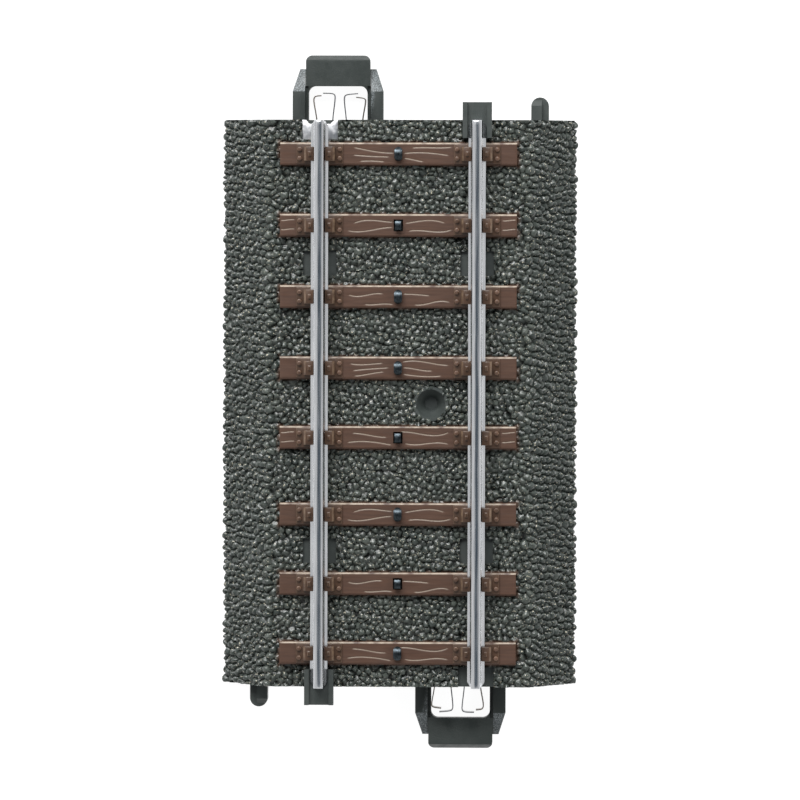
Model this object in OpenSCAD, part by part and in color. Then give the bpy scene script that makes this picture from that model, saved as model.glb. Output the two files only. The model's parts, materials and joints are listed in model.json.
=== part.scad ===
// Short straight section of H0 studded-centre track on a moulded roadbed.
// Both ends are alike when the section is turned half round, so any two ends click together.
// Origin: centre of the section on its base plane. +Y runs along the rails, +X to the right, +Z up.

/* [Track] */
// Distance between the inner faces of the two rail heads
gauge = 16.7; // [16.5:0.05:16.8]
// Length of the rails and the roadbed
bed_l = 64.2; // [64:0.1:64.4]
// Distance from the north end to the middle of the first sleeper
first_sleeper = 3.82; // [3.75:0.01:3.85]
// Distance between sleepers near the north end
north_pitch = 8.07; // [8.04:0.01:8.1]
// Distance between sleepers near the south end
south_pitch = 7.88; // [7.86:0.01:7.9]
// Distance between the fifth and the sixth sleeper
wide_pitch = 8.7; // [8.65:0.01:8.75]
// Height of a rail from foot to head
rail_h = 2.3; // [2.2:0.05:2.4]
// Width of the rail foot
foot_w = 1.95; // [1.9:0.05:2]
// Width of the rail head
head_w = 1.1; // [1:0.05:1.15]

/* [Roadbed] */
// Width of the roadbed at its base
bed_w = 39.2; // [39:0.1:40]
// Width of the roadbed's flat top
bed_top_w = 29.2; // [29:0.1:29.6]
// Height of the roadbed's flat top
bed_top_z = 6.4; // [6.35:0.05:6.5]
// Thickness of the roadbed's top wall
top_wall = 0.9; // [0.85:0.05:0.95]
// Thickness of the end walls
end_wall = 1; // [0.9:0.05:1.1]

/* [Sleepers] */
// Length of a sleeper across the track
sleeper_l = 26.8; // [26.4:0.1:27.2]
// Width of a sleeper along the track
sleeper_w = 2.63; // [2.6:0.01:2.7]
// Height of the sleepers' top faces
sleeper_top_z = 7.45; // [7.4:0.05:7.5]
// Bevel along a sleeper's top edges
sleeper_bevel = 0.2; // [0.15:0.05:0.25]

/* [Latch loops] */
// Outer width of a latch loop over its two arms
loop_w = 10.3; // [10.1:0.1:10.4]
// Width of the window between the arms
loop_window_w = 6.7; // [6.6:0.1:6.8]
// Reach of a latch loop past the end of the roadbed
loop_reach = 7.4; // [7.3:0.05:7.45]
// Distance of a loop's middle from the track's centre line
loop_x = 7.05; // [7:0.01:7.1]

/* [Contacts] */
// Thickness of a contact spring leaf
leaf_t = 0.15; // [0.12:0.01:0.18]
// Distance of the rail contacts from the track's centre line
rail_contact_x = 8.45; // [8.4:0.05:8.5]
// Distance of the centre contacts from the track's centre line
centre_contact_x = 5.05; // [5:0.05:5.1]

/* [Fixing hole] */
// Radius of the fixing screw's hole
screw_r = 1; // [0.9:0.05:1.1]
// Radius of the countersink at its mouth
countersink_r = 1.65; // [1.5:0.05:1.7]
// Distance of the hole from the track's centre line
screw_x = 3.7; // [3.6:0.1:3.8]

/* [Hidden] */
$fn = 48;

// Over-cut that lets a subtraction pass cleanly through a face
cut = 1;

// Layout along the track
sleeper_count = 8;
sleeper_gaps = [
    north_pitch, north_pitch, north_pitch, south_pitch, wide_pitch, south_pitch, south_pitch
];
end_y = bed_l / 2;
// Where the rails are joined to the conductors, in the second gap between sleepers from each end
link_y = 16.3;

// Heights
ceiling_z = bed_top_z - top_wall;
sleeper_pocket = 0.15;
sleeper_base_z = bed_top_z - sleeper_pocket;
baseplate_t = 0.25;
rail_z = sleeper_top_z + baseplate_t;
foot_edge_h = 0.22;

// Rail centre line
rail_x = (gauge + head_w) / 2;

// Roadbed walls
slope_wall = 1.3;
rib_t = 1;
deep_rib_t = 0.8;
deep_rib_y = end_y - 7.9;
long_wall_t = 0.6;
rib_pitch = 8.08;
shelf_t = 0.3;
shelf_z = 2.95;
shelf_y = end_y - 3.85;

// Loops: level of the arms, hinge line and half height
loop_z = 0.8;
loop_t = 2;
loop_root_r = loop_t / 2;
loop_root_y = end_y - 3.05;
loop_root_z = loop_z + loop_root_r;
root_play = 0.05;
loop_play = 0.08;
loop_crease = 3.3;
loop_arm_reach = 5.85;
loop_bar_near = 3.9;
loop_bar_w = 7.3;
loop_arm_taper = 0.8;
// Lower ledge along the inner side of each arm, and the drop of the cross bar below the arms
loop_ledge_w = 0.4;
loop_ledge_drop = 0.6;
loop_bar_drop = 0.2;

// Contact springs: level, roots and seats
leaf_z = 3.6;
leaf_h = 1.4;
leaf_root_r = 0.22;
leaf_seat_r = 0.27;
leaf_root_x = 0.8;
leaf_root_y = end_y - 1.85;
fork_base_w = 2.3;
fork_base_l = 1.6;
fork_base_z = 3.4;
socket_w = 2.6;
socket_t = 0.25;

// Conductors
strip_t = 0.3;
strip_z = 3.9;
strip_w = 1.4;
leg_w = 1.5;
leg_z = ceiling_z - strip_t;
tee_y = end_y - 3.25;
tee_l = 1.5;
stud_shank = [0.5, 1];
stud_top_z = 8.3;
stud_play = 0.05;
// Sleepers whose stud stands in a square socket
socketed = [2, 5, 7];

// Guide channels that carry the next section's rail foot, and the tongue pins
channel_w = 3.3;
channel_wall = 0.53;
channel_reach = 2.05;
channel_inside = 2;
channel_floor_z = rail_z - 0.05;
channel_top_z = rail_z + 0.4;
channel_under_z = rail_z - 0.8;
pin_x = 15.95;
pin_w = 2;
pin_reach = 2.65;
pin_z = 1.2;
pin_h = 1.8;
pin_rib_h = 2.4;
pin_rib_side = 0.2;
pin_ramp_l = 0.95;
pin_play = 0.15;

// Distance from the first sleeper to sleeper number i
function sleeper_run(i) = i < 2 ? 0 : sleeper_gaps[i - 2] + sleeper_run(i - 1);

// Centre of sleeper number i, counted from the north end
function sleeper_y(i) = end_y - first_sleeper - sleeper_run(i);

// A block given by its low and high corners
module block(low, high) {
    translate(low)
        cube(high - low);
}

// A block that is centred on x
module mid_block(x, w, y0, y1, z0, z1) {
    block([x - w / 2, y0, z0], [x + w / 2, y1, z1]);
}

// A bar along Y with its outline drawn in X and Z
module bar_y(y0, y1) {
    translate([0, y1, 0])
        rotate([90, 0, 0])
            linear_extrude(height = y1 - y0)
                children();
}

// A bar along X with its outline drawn in Y and Z
module bar_x(x0, x1) {
    translate([x0, 0, 0])
        rotate([90, 0, 90])
            linear_extrude(height = x1 - x0)
                children();
}

// The children, and a copy turned half round about the vertical
module both_ends() {
    children();
    rotate([0, 0, 180])
        children();
}

// ---- Roadbed ----

module bed_outline() {
    polygon([
        [-bed_w / 2, 0],
        [bed_w / 2, 0],
        [bed_top_w / 2, bed_top_z],
        [-bed_top_w / 2, bed_top_z]
    ]);
}

module bed_block() {
    bar_y(-end_y, end_y)
        bed_outline();
}

// Hollow underside, open at the base
module bed_cavity() {
    low = bed_w / 2 - slope_wall;
    high = bed_top_w / 2 - top_wall;
    bar_y(-end_y + end_wall, end_y - end_wall)
        polygon([[-low, -cut], [low, -cut], [low, 0], [high, ceiling_z], [-high, ceiling_z], [-low, 0]]);
}

// A wall across the underside
module cross_rib(y, t) {
    intersection() {
        bed_block();
        mid_block(0, bed_w, y - t / 2, y + t / 2, 0, ceiling_z + top_wall / 2);
    }
}

module ribs() {
    for (i = [-2.5 : 1 : 2.5])
        cross_rib(i * rib_pitch, rib_t);
    both_ends()
        cross_rib(deep_rib_y, deep_rib_t);
}

// Walls beside the two latch bays of one end
module bay_walls() {
    for (side = [-1, 1])
        for (edge = [-1, 1])
            mid_block(
                side * loop_x + edge * (loop_w / 2 + loop_play + long_wall_t / 2), long_wall_t,
                deep_rib_y, end_y - end_wall / 2, 0, ceiling_z + top_wall / 2
            );
}

// Seat behind the rounded root of this end's own latch loop
module loop_seat() {
    bay = loop_w + 2 * loop_play;
    difference() {
        mid_block(-loop_x, bay, loop_root_y - 1.9, loop_root_y, loop_z - 0.2, loop_z + loop_t + 0.2);
        translate([-loop_x, loop_root_y, loop_root_z])
            rotate([0, 90, 0])
                cylinder(r = loop_root_r + root_play, h = bay, center = true);
    }
}

// Shelf with a ramped tooth that drops into the next section's latch loop
module catch_shelf() {
    tooth_back = end_y - 3.65;
    tooth_w = 5.2;
    tooth_depth = 0.7;
    mid_block(loop_x, loop_w + 2 * loop_play, shelf_y, end_y, shelf_z, shelf_z + shelf_t);
    bar_x(loop_x - tooth_w / 2, loop_x + tooth_w / 2)
        polygon([
            [tooth_back, shelf_z + shelf_t / 2],
            [tooth_back, shelf_z - tooth_depth],
            [tooth_back + 0.7, shelf_z - tooth_depth],
            [tooth_back + 2.5, shelf_z],
            [tooth_back + 2.5, shelf_z + shelf_t / 2]
        ]);
}

// Openings in one end wall: latch bays below, contact windows above
module end_openings() {
    bay = loop_w + 2 * loop_play;
    window_mid = (rail_contact_x + centre_contact_x) / 2;
    window_w = rail_contact_x - centre_contact_x + 3.2;
    window_top = ceiling_z - 0.2;
    mid_block(-loop_x, bay, end_y - 2 * end_wall, end_y + cut, -cut, shelf_z + 0.05);
    mid_block(loop_x, bay, end_y - 2 * end_wall, end_y + cut, -cut, shelf_z - 0.7);
    mid_block(-window_mid, window_w, end_y - 2 * end_wall, end_y + cut, shelf_z, window_top);
    mid_block(window_mid, window_w, end_y - 2 * end_wall, end_y + cut, shelf_z + shelf_t, window_top);
}

module pin_body(h) {
    nose_r = pin_w / 2;
    nose_y = end_y + pin_reach - nose_r;
    mid_block(0, pin_w, end_y - end_wall, nose_y, 0, h);
    translate([0, nose_y, 0])
        cylinder(r = nose_r, h = h);
}

// Round-nosed pin that lines up two sections, with a ramped rib along its inner side
module tongue_pin() {
    tip_y = end_y + pin_reach;
    translate([pin_x, 0, pin_z]) {
        pin_body(pin_h);
        intersection() {
            pin_body(pin_rib_h);
            bar_x(-pin_w, pin_rib_side)
                polygon([
                    [end_y - end_wall, 0],
                    [tip_y, 0],
                    [tip_y, pin_h - 0.3],
                    [tip_y - pin_ramp_l, pin_rib_h],
                    [end_y - end_wall, pin_rib_h]
                ]);
        }
    }
}

// Hole in the end wall for the next section's tongue pin
module pin_hole() {
    y0 = end_y - 2 * end_wall;
    outer = pin_w / 2 + pin_play;
    translate([-pin_x, 0, pin_z]) {
        block([-outer, y0, -pin_play], [outer, end_y + cut, pin_h + pin_play / 2]);
        block([-pin_rib_side - pin_play, y0, -pin_play], [outer, end_y + cut, pin_rib_h + pin_play]);
    }
}

// Trough under the end of a rail that the next section's rail foot slides into
module guide_channel() {
    slot_w = channel_w - 2 * channel_wall;
    difference() {
        union() {
            mid_block(rail_x, channel_w, end_y - channel_inside, end_y, ceiling_z, channel_top_z);
            mid_block(rail_x, channel_w, end_y - cut, end_y + channel_reach, channel_under_z, channel_top_z);
        }
        mid_block(
            rail_x, slot_w, end_y - channel_inside - cut, end_y + channel_reach + cut,
            channel_floor_z, channel_top_z + cut
        );
    }
}

// Boss of the fixing screw, standing from the base to the stone level
module screw_boss() {
    boss_r = 2.3;
    rim_r = 1.95;
    translate([screw_x, 0, 0]) {
        cylinder(r = boss_r, h = bed_top_z - top_wall / 2);
        cylinder(r = rim_r, h = bed_top_z + 0.4);
    }
}

// Screw's hole from below and countersink from above, with a thin skin left between for the screw to pierce
module screw_bore() {
    sink_h = 1.6;
    sink_floor_r = 0.7;
    skin_t = 0.3;
    mouth_z = bed_top_z + 0.4;
    translate([screw_x, 0, 0]) {
        translate([0, 0, -cut])
            cylinder(r = screw_r, h = mouth_z - sink_h - skin_t + cut);
        translate([0, 0, mouth_z - sink_h])
            cylinder(r1 = sink_floor_r, r2 = countersink_r, h = sink_h + 0.001);
    }
}

// Slots through the top wall for studs, rail tabs and the contact plate's tab
module top_slots() {
    for (i = [1 : sleeper_count])
        translate([0, sleeper_y(i), 0])
            mid_block(
                0, stud_shank[0] + 2 * stud_play,
                -stud_shank[1] / 2 - stud_play, stud_shank[1] / 2 + stud_play,
                ceiling_z - cut, bed_top_z + cut
            );
    both_ends()
        for (side = [-1, 1])
            mid_block(side * rail_x, 0.9, link_y - 0.35, link_y + 0.35, ceiling_z - cut, bed_top_z + cut);
    mid_block(-rail_x, 1.3, end_y - 1.95, end_y - 1.25, ceiling_z - cut, bed_top_z + cut);
}

// Channels through the ribs and bay walls for the conductor strips
module strip_channels() {
    play = 0.1;
    mid_block(0, strip_w + 2 * play, -end_y + 1.5 * end_wall, end_y - 1.5 * end_wall, strip_z - play / 2, ceiling_z);
    both_ends() {
        mid_block(0, 2 * centre_contact_x, tee_y - play / 2, tee_y + tee_l + play / 2, strip_z - play / 2, strip_z + strip_t + play / 2);
        for (side = [-1, 1])
            mid_block(side * rail_contact_x, leg_w + 2 * play, link_y, end_y - 2, leg_z - play / 2, ceiling_z);
    }
}

module roadbed_shell() {
    color([0.24, 0.26, 0.24])
        difference() {
            union() {
                difference() {
                    bed_block();
                    bed_cavity();
                    both_ends() {
                        end_openings();
                        pin_hole();
                    }
                }
                ribs();
                both_ends() {
                    bay_walls();
                    loop_seat();
                    catch_shelf();
                    tongue_pin();
                    guide_channel();
                }
                screw_boss();
            }
            for (i = [1 : sleeper_count])
                translate([0, sleeper_y(i), 0])
                    mid_block(0, sleeper_l, -sleeper_w / 2, sleeper_w / 2, sleeper_base_z, bed_top_z + cut);
            top_slots();
            strip_channels();
            screw_bore();
        }
}

// ---- Sleepers and rail chairs ----

module sleeper(i) {
    half = sleeper_w / 2;
    color([0.38, 0.27, 0.22])
        translate([0, sleeper_y(i), 0])
            difference() {
                bar_x(-sleeper_l / 2, sleeper_l / 2)
                    polygon([
                        [-half, sleeper_base_z],
                        [half, sleeper_base_z],
                        [half, sleeper_top_z - sleeper_bevel],
                        [half - sleeper_bevel, sleeper_top_z],
                        [-half + sleeper_bevel, sleeper_top_z],
                        [-half, sleeper_top_z - sleeper_bevel]
                    ]);
                mid_block(
                    0, stud_shank[0] + 2 * stud_play,
                    -stud_shank[1] / 2 - stud_play, stud_shank[1] / 2 + stud_play,
                    sleeper_base_z - cut, sleeper_top_z + cut
                );
                if (is_socketed(i))
                    mid_block(0, 1.06, -0.66, 0.66, sleeper_top_z - 0.25, sleeper_top_z + cut);
            }
}

function is_socketed(i) = len(search(i, socketed)) > 0;

// The children at every sleeper under the rail at x
module at_chairs(x) {
    for (i = [1 : sleeper_count])
        translate([x, sleeper_y(i), 0])
            children();
}

module baseplates(x) {
    plate_w = 5.2;
    plate_l = 2.2;
    color([0.27, 0.19, 0.16])
        at_chairs(x)
            mid_block(0, plate_w, -plate_l / 2, plate_l / 2, sleeper_top_z, rail_z);
}

// One clip that stands on the baseplate and reaches over the rail foot
module rail_clip() {
    clip_l = 1.6;
    inner = head_w / 2 + 0.1;
    outer = 1.75;
    top_z = rail_z + 0.85;
    foot_gap = foot_w / 2 + 0.02;
    bar_y(-clip_l / 2, clip_l / 2)
        polygon([
            [foot_gap, rail_z],
            [outer, rail_z],
            [outer, top_z - 0.25],
            [outer - 0.25, top_z],
            [inner, top_z],
            [inner, rail_z + 0.44],
            [foot_gap, rail_z + 0.44]
        ]);
    block([inner + 0.3, -0.25, top_z - 0.1], [inner + 0.6, 0.25, top_z + 0.18]);
}

module rail_clips(x) {
    color([0.25, 0.18, 0.15])
        at_chairs(x) {
            rail_clip();
            mirror([1, 0, 0])
                rail_clip();
        }
}

module chair_bolts(x) {
    bolt_x = 2.27;
    bolt_y = 0.52;
    color([0.55, 0.36, 0.26])
        at_chairs(x)
            for (sx = [-1, 1])
                for (sy = [-1, 1])
                    translate([sx * bolt_x, sy * bolt_y, rail_z])
                        cylinder(r = 0.27, h = 0.28, $fn = 6);
}

// ---- Rails ----

module rail_outline() {
    web = 0.24;
    half = [
        [foot_w / 2, 0],
        [foot_w / 2, foot_edge_h],
        [web + 0.1, 0.5],
        [web, 0.65],
        [web, rail_h - 0.75],
        [head_w / 2, rail_h - 0.55],
        [head_w / 2, rail_h - 0.15],
        [head_w / 2 - 0.15, rail_h]
    ];
    polygon(concat(half, [for (i = [len(half) - 1 : -1 : 0]) [-half[i][0], half[i][1]]]));
}

// Rail with the corners of its foot cut away at both ends
module rail(x) {
    corner = 0.7;
    color([0.72, 0.74, 0.78])
        translate([x, 0, rail_z])
            difference() {
                bar_y(-end_y, end_y)
                    rail_outline();
                for (sx = [-1, 1])
                    for (sy = [-1, 1])
                        translate([sx * foot_w / 2, sy * end_y, -cut])
                            rotate([0, 0, 45])
                                translate([-corner / sqrt(2), -corner / sqrt(2), 0])
                                    cube([corner * sqrt(2), corner * sqrt(2), cut + 0.45]);
            }
}

// ---- Conductors under the roadbed ----

// Contact stud that stands up through sleeper i
module stud(i) {
    boxed = is_socketed(i);
    head = boxed ? [0.7, 1] : [0.9, 1.6];
    head_z = boxed ? sleeper_top_z - 0.25 : sleeper_top_z;
    crown_r = 0.95;
    mid_block(0, stud_shank[0], -stud_shank[1] / 2, stud_shank[1] / 2, strip_z + strip_t / 2, head_z + 0.1);
    intersection() {
        translate([0, 0, head_z])
            linear_extrude(height = stud_top_z - head_z)
                if (boxed)
                    square(head, center = true);
                else
                    union() {
                        square([head[0], head[1] - head[0]], center = true);
                        for (s = [-1, 1])
                            translate([0, s * (head[1] - head[0]) / 2])
                                circle(r = head[0] / 2);
                    }
        translate([0, 0, stud_top_z - crown_r])
            rotate([0, 90, 0])
                cylinder(r = crown_r, h = 2 * head[0], center = true);
    }
}

// Block that the two leaves of a contact spring are rooted in
module fork_base(x, top_z) {
    difference() {
        mid_block(x, fork_base_w, leaf_root_y - 0.1 - fork_base_l, leaf_root_y - 0.1, fork_base_z, top_z);
        for (side = [-1, 1])
            translate([x + side * leaf_root_x, leaf_root_y, fork_base_z - cut])
                cylinder(r = leaf_seat_r, h = top_z - fork_base_z + 2 * cut);
    }
}

module centre_conductor() {
    socket_side = centre_contact_x - socket_w / 2;
    base_side = centre_contact_x - fork_base_w / 2;
    color([0.45, 0.46, 0.5]) {
        mid_block(0, strip_w, -tee_y - tee_l, tee_y + tee_l, strip_z, strip_z + strip_t);
        for (i = [1 : sleeper_count])
            translate([0, sleeper_y(i), 0])
                stud(i);
        both_ends() {
            block([-base_side, tee_y, strip_z], [socket_side, tee_y + tee_l, strip_z + strip_t]);
            fork_base(-centre_contact_x, ceiling_z);
        }
    }
}

// Strip that joins both rails to the rail contacts of one end
module rail_conductor() {
    reach = rail_contact_x + leg_w / 2;
    tab_w = 0.8;
    color([0.6, 0.58, 0.52]) {
        block([-reach, link_y - 0.5, leg_z], [reach, link_y + 0.5, ceiling_z]);
        for (side = [-1, 1]) {
            mid_block(side * rail_contact_x, leg_w, link_y, leaf_root_y - 0.1, leg_z, ceiling_z);
            mid_block(side * rail_x, tab_w, link_y - 0.3, link_y + 0.3, leg_z + strip_t / 2, rail_z);
        }
        fork_base(-rail_contact_x, leg_z + strip_t / 2);
    }
}

// Tinned plate in the recess under the left rail's north end
module rail_contact_plate() {
    plate_w = 4.05;
    plate_l = 2.2;
    notch_w = 3.25;
    notch_d = 0.45;
    color([0.8, 0.81, 0.82]) {
        translate([-rail_x, end_y, bed_top_z])
            linear_extrude(height = 0.2)
                polygon([
                    [-plate_w / 2, 0],
                    [-notch_w / 2, 0],
                    [-notch_w / 2 + notch_d, -notch_d],
                    [notch_w / 2 - notch_d, -notch_d],
                    [notch_w / 2, 0],
                    [plate_w / 2, 0],
                    [plate_w / 2, -plate_l],
                    [-plate_w / 2, -plate_l]
                ]);
        mid_block(-rail_x, 1.2, end_y - 1.9, end_y - 1.3, ceiling_z, bed_top_z + 0.1);
    }
}

// Folded socket that the next section's contact spring pushes into
module contact_socket(x) {
    y0 = end_y - 3.5;
    y1 = end_y - 0.25;
    z0 = shelf_z + shelf_t;
    color([0.62, 0.6, 0.55])
        difference() {
            mid_block(x, socket_w, y0, y1, z0, leg_z);
            mid_block(x, socket_w - 2 * socket_t, y0 + socket_t, y1 + cut, z0 - cut, leg_z + cut);
        }
}

// ---- Contact springs ----

// Strip of even thickness along a run of points
module strip_path(points, t) {
    for (i = [0 : len(points) - 2]) {
        a = points[i];
        b = points[i + 1];
        translate(a)
            rotate([0, 0, atan2(b[1] - a[1], b[0] - a[0])])
                translate([0, -t / 2])
                    square([norm(b - a), t]);
        translate(b)
            circle(r = t / 2);
    }
}

// One leaf of a contact spring: bowed outwards, hooked inwards at its tip
// The longer leaf's hook passes outside the shorter one's
module spring_leaf(x, side, long) {
    bow = long ? [1.15, 2.8] : [1.25, 2.15];
    tip = long ? [-0.3, 3.22] : [0.25, 2.6];
    color(long ? [0.5, 0.5, 0.52] : [0.62, 0.47, 0.33])
        translate([x, 0, leaf_z])
            linear_extrude(height = leaf_h) {
                translate([side * leaf_root_x, leaf_root_y])
                    circle(r = leaf_root_r);
                strip_path([
                    [side * leaf_root_x, leaf_root_y],
                    [side * (leaf_root_x + 0.05), end_y],
                    [side * bow[0], end_y + bow[1]],
                    [side * tip[0], end_y + tip[1]]
                ], leaf_t);
            }
}

// ---- Latch loops ----

// Plan of an arm pair: straight out of the roadbed, drawn in past the crease
module loop_arms_plan() {
    inner = loop_window_w / 2 + loop_ledge_w;
    for (side = [-1, 1])
        mirror([(1 - side) / 2, 0])
            polygon([
                [inner, loop_root_y],
                [loop_w / 2, loop_root_y],
                [loop_w / 2, end_y + loop_crease],
                [loop_w / 2 - loop_arm_taper, end_y + loop_arm_reach],
                [inner - loop_ledge_w, end_y + loop_arm_reach],
                [inner - loop_ledge_w, end_y + loop_bar_near],
                [inner, end_y + loop_bar_near]
            ]);
}

// Plan of the cross bar, with round outer corners and fillets at the window
module loop_bar_plan() {
    corner = 0.7;
    fillet = 0.83;
    half = loop_bar_w / 2;
    near = end_y + loop_bar_near;
    far = end_y + loop_reach;
    translate([-half, near])
        square([loop_bar_w, loop_reach - loop_bar_near - corner]);
    translate([-half + corner, near])
        square([loop_bar_w - 2 * corner, loop_reach - loop_bar_near]);
    for (side = [-1, 1]) {
        translate([side * (half - corner), far - corner])
            circle(r = corner);
        translate([side * loop_window_w / 2, near])
            difference() {
                translate([-side * fillet / 2, -fillet / 2])
                    square(fillet, center = true);
                translate([-side * fillet, -fillet])
                    circle(r = fillet);
            }
    }
}

module latch_loop() {
    top = loop_z + loop_t;
    far = end_y + loop_reach;
    color([0.27, 0.29, 0.28])
        translate([-loop_x, 0, 0]) {
            translate([0, loop_root_y, loop_root_z])
                rotate([0, 90, 0])
                    cylinder(r = loop_root_r, h = loop_w, center = true);
            intersection() {
                translate([0, 0, loop_z])
                    linear_extrude(height = loop_t)
                        loop_arms_plan();
                bar_x(-loop_w / 2, loop_w / 2)
                    polygon([
                        [loop_root_y, loop_z],
                        [end_y + loop_arm_reach, loop_z],
                        [end_y + loop_arm_reach, loop_z + 0.5],
                        [end_y + loop_crease, top],
                        [loop_root_y, top]
                    ]);
            }
            for (side = [-1, 1])
                mid_block(
                    side * (loop_window_w + 1.5 * loop_ledge_w) / 2, 1.5 * loop_ledge_w,
                    loop_root_y, end_y + loop_bar_near + 0.1, loop_z, top - loop_ledge_drop
                );
            intersection() {
                translate([0, 0, loop_z])
                    linear_extrude(height = loop_t)
                        loop_bar_plan();
                bar_x(-loop_w / 2, loop_w / 2)
                    polygon([
                        [end_y, loop_z],
                        [far, loop_z],
                        [far, top - 1.2],
                        [far - 0.5, top - loop_bar_drop],
                        [far - 1.1, top - loop_bar_drop],
                        [end_y + loop_bar_near + 0.1, top - 1.5 * loop_bar_drop],
                        [end_y, top - loop_ledge_drop]
                    ]);
            }
        }
}

roadbed_shell();
sleeper(1);  // sleeper_1
sleeper(2);  // sleeper_2
sleeper(3);  // sleeper_3
sleeper(4);  // sleeper_4
sleeper(5);  // sleeper_5
sleeper(6);  // sleeper_6
sleeper(7);  // sleeper_7
sleeper(8);  // sleeper_8
baseplates(-rail_x);  // baseplates_left
baseplates(rail_x);  // baseplates_right
rail_clips(-rail_x);  // rail_clips_left
rail_clips(rail_x);  // rail_clips_right
chair_bolts(-rail_x);  // chair_bolts_left
chair_bolts(rail_x);  // chair_bolts_right
rail(-rail_x);  // rail_left
rail(rail_x);  // rail_right
centre_conductor();
rail_conductor();  // rail_conductor_north
rotate([0, 0, 180]) rail_conductor();  // rail_conductor_south
rail_contact_plate();
contact_socket(rail_contact_x);  // contact_socket_rail_north
contact_socket(centre_contact_x);  // contact_socket_centre_north
rotate([0, 0, 180]) contact_socket(rail_contact_x);  // contact_socket_rail_south
rotate([0, 0, 180]) contact_socket(centre_contact_x);  // contact_socket_centre_south
spring_leaf(-rail_contact_x, -1, false);  // spring_rail_north_short
spring_leaf(-rail_contact_x, 1, true);  // spring_rail_north_long
spring_leaf(-centre_contact_x, 1, false);  // spring_centre_north_short
spring_leaf(-centre_contact_x, -1, true);  // spring_centre_north_long
rotate([0, 0, 180]) spring_leaf(-rail_contact_x, -1, false);  // spring_rail_south_short
rotate([0, 0, 180]) spring_leaf(-rail_contact_x, 1, true);  // spring_rail_south_long
rotate([0, 0, 180]) spring_leaf(-centre_contact_x, 1, false);  // spring_centre_south_short
rotate([0, 0, 180]) spring_leaf(-centre_contact_x, -1, true);  // spring_centre_south_long
latch_loop();  // latch_loop_north
rotate([0, 0, 180]) latch_loop();  // latch_loop_south
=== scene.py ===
"""A short section of H0 studded-centre track: stone ballast, sleepers, rails, contacts and click ends."""

import json
import math

import bmesh
import bpy
import numpy as np
from mathutils import Matrix, Vector


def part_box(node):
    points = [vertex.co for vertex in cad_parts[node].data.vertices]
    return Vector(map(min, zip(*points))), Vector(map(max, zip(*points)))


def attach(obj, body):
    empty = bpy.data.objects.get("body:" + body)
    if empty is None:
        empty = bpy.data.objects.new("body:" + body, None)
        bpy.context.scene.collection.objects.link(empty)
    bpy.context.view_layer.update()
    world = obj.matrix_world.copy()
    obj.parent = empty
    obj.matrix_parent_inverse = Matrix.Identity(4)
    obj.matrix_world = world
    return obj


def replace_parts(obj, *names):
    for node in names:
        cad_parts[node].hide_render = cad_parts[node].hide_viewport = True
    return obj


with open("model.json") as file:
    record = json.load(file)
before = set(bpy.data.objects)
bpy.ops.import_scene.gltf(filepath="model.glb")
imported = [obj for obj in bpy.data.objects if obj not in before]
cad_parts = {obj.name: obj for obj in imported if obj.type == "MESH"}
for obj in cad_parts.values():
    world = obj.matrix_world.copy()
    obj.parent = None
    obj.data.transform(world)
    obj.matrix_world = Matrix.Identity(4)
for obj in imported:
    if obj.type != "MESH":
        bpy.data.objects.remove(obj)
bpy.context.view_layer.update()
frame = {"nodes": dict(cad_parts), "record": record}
MM = 0.001
BODY = "roadbed"


# ---- Sizes read from the frame, in millimetres ----

def box_mm(node):
    """Lowest and highest corner of a CAD node, in millimetres."""
    low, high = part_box(node)
    return np.array(low) / MM, np.array(high) / MM


def node_points(node):
    """All corners of a CAD node, in millimetres."""
    return np.array([v.co for v in frame["nodes"][node].data.vertices]) / MM


SLEEPERS = [f"sleeper_{i}" for i in range(1, 9)]
STUD_HOLED = {"sleeper_2", "sleeper_5", "sleeper_7"}
sleeper_low, sleeper_high = box_mm("sleeper_1")
SLEEPER_HALF_L = sleeper_high[0]
SLEEPER_HALF_W = (sleeper_high[1] - sleeper_low[1]) / 2
SLEEPER_BASE, SLEEPER_TOP = sleeper_low[2], sleeper_high[2]
SLEEPER_Y = [(box_mm(n)[0][1] + box_mm(n)[1][1]) / 2 for n in SLEEPERS]
LINK_Y = node_points("rail_conductor_north")[:, 1].min() + 0.5
rail_low, rail_high = box_mm("rail_right")
RAIL_X = (rail_low[0] + rail_high[0]) / 2
END_Y = rail_high[1]
shell_points = node_points("roadbed_shell")
BASE_HALF = shell_points[:, 0].max()
crease = shell_points[(np.abs(shell_points[:, 0]) > SLEEPER_HALF_L) & (shell_points[:, 2] > SLEEPER_BASE)]
TOP_HALF = np.abs(crease[:, 0]).mean()
BED_TOP = crease[:, 2].mean()
rail_points = node_points("rail_right")
HEAD_HALF_W = (rail_points[rail_points[:, 2] > rail_high[2] - 0.4, 0] - RAIL_X).max()
plate_low, plate_high = box_mm("rail_contact_plate")
LOOP_X = abs(box_mm("latch_loop_north")[0][0] + box_mm("latch_loop_north")[1][0]) / 2
LOOP_BAR_HALF = 3.72  # Half of the latch loop's straight outer bar, between its slanted arms
screw_mount = next(m for m in frame["record"]["mounts"] if m["name"] == "screw_hole")
SCREW_X = screw_mount["pos_m"][0] / MM
SCREW_CLEAR = 1.7  # Radius around the screw recess that the stones keep off


# ---- Mesh building ----

def new_object(name, mesh, material, body=BODY):
    """A piece of the visual model that rides on a CAD body."""
    obj = bpy.data.objects.new(name, mesh)
    bpy.context.scene.collection.objects.link(obj)
    mesh.materials.clear()
    mesh.materials.append(material)
    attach(obj, body)
    return obj


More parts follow.
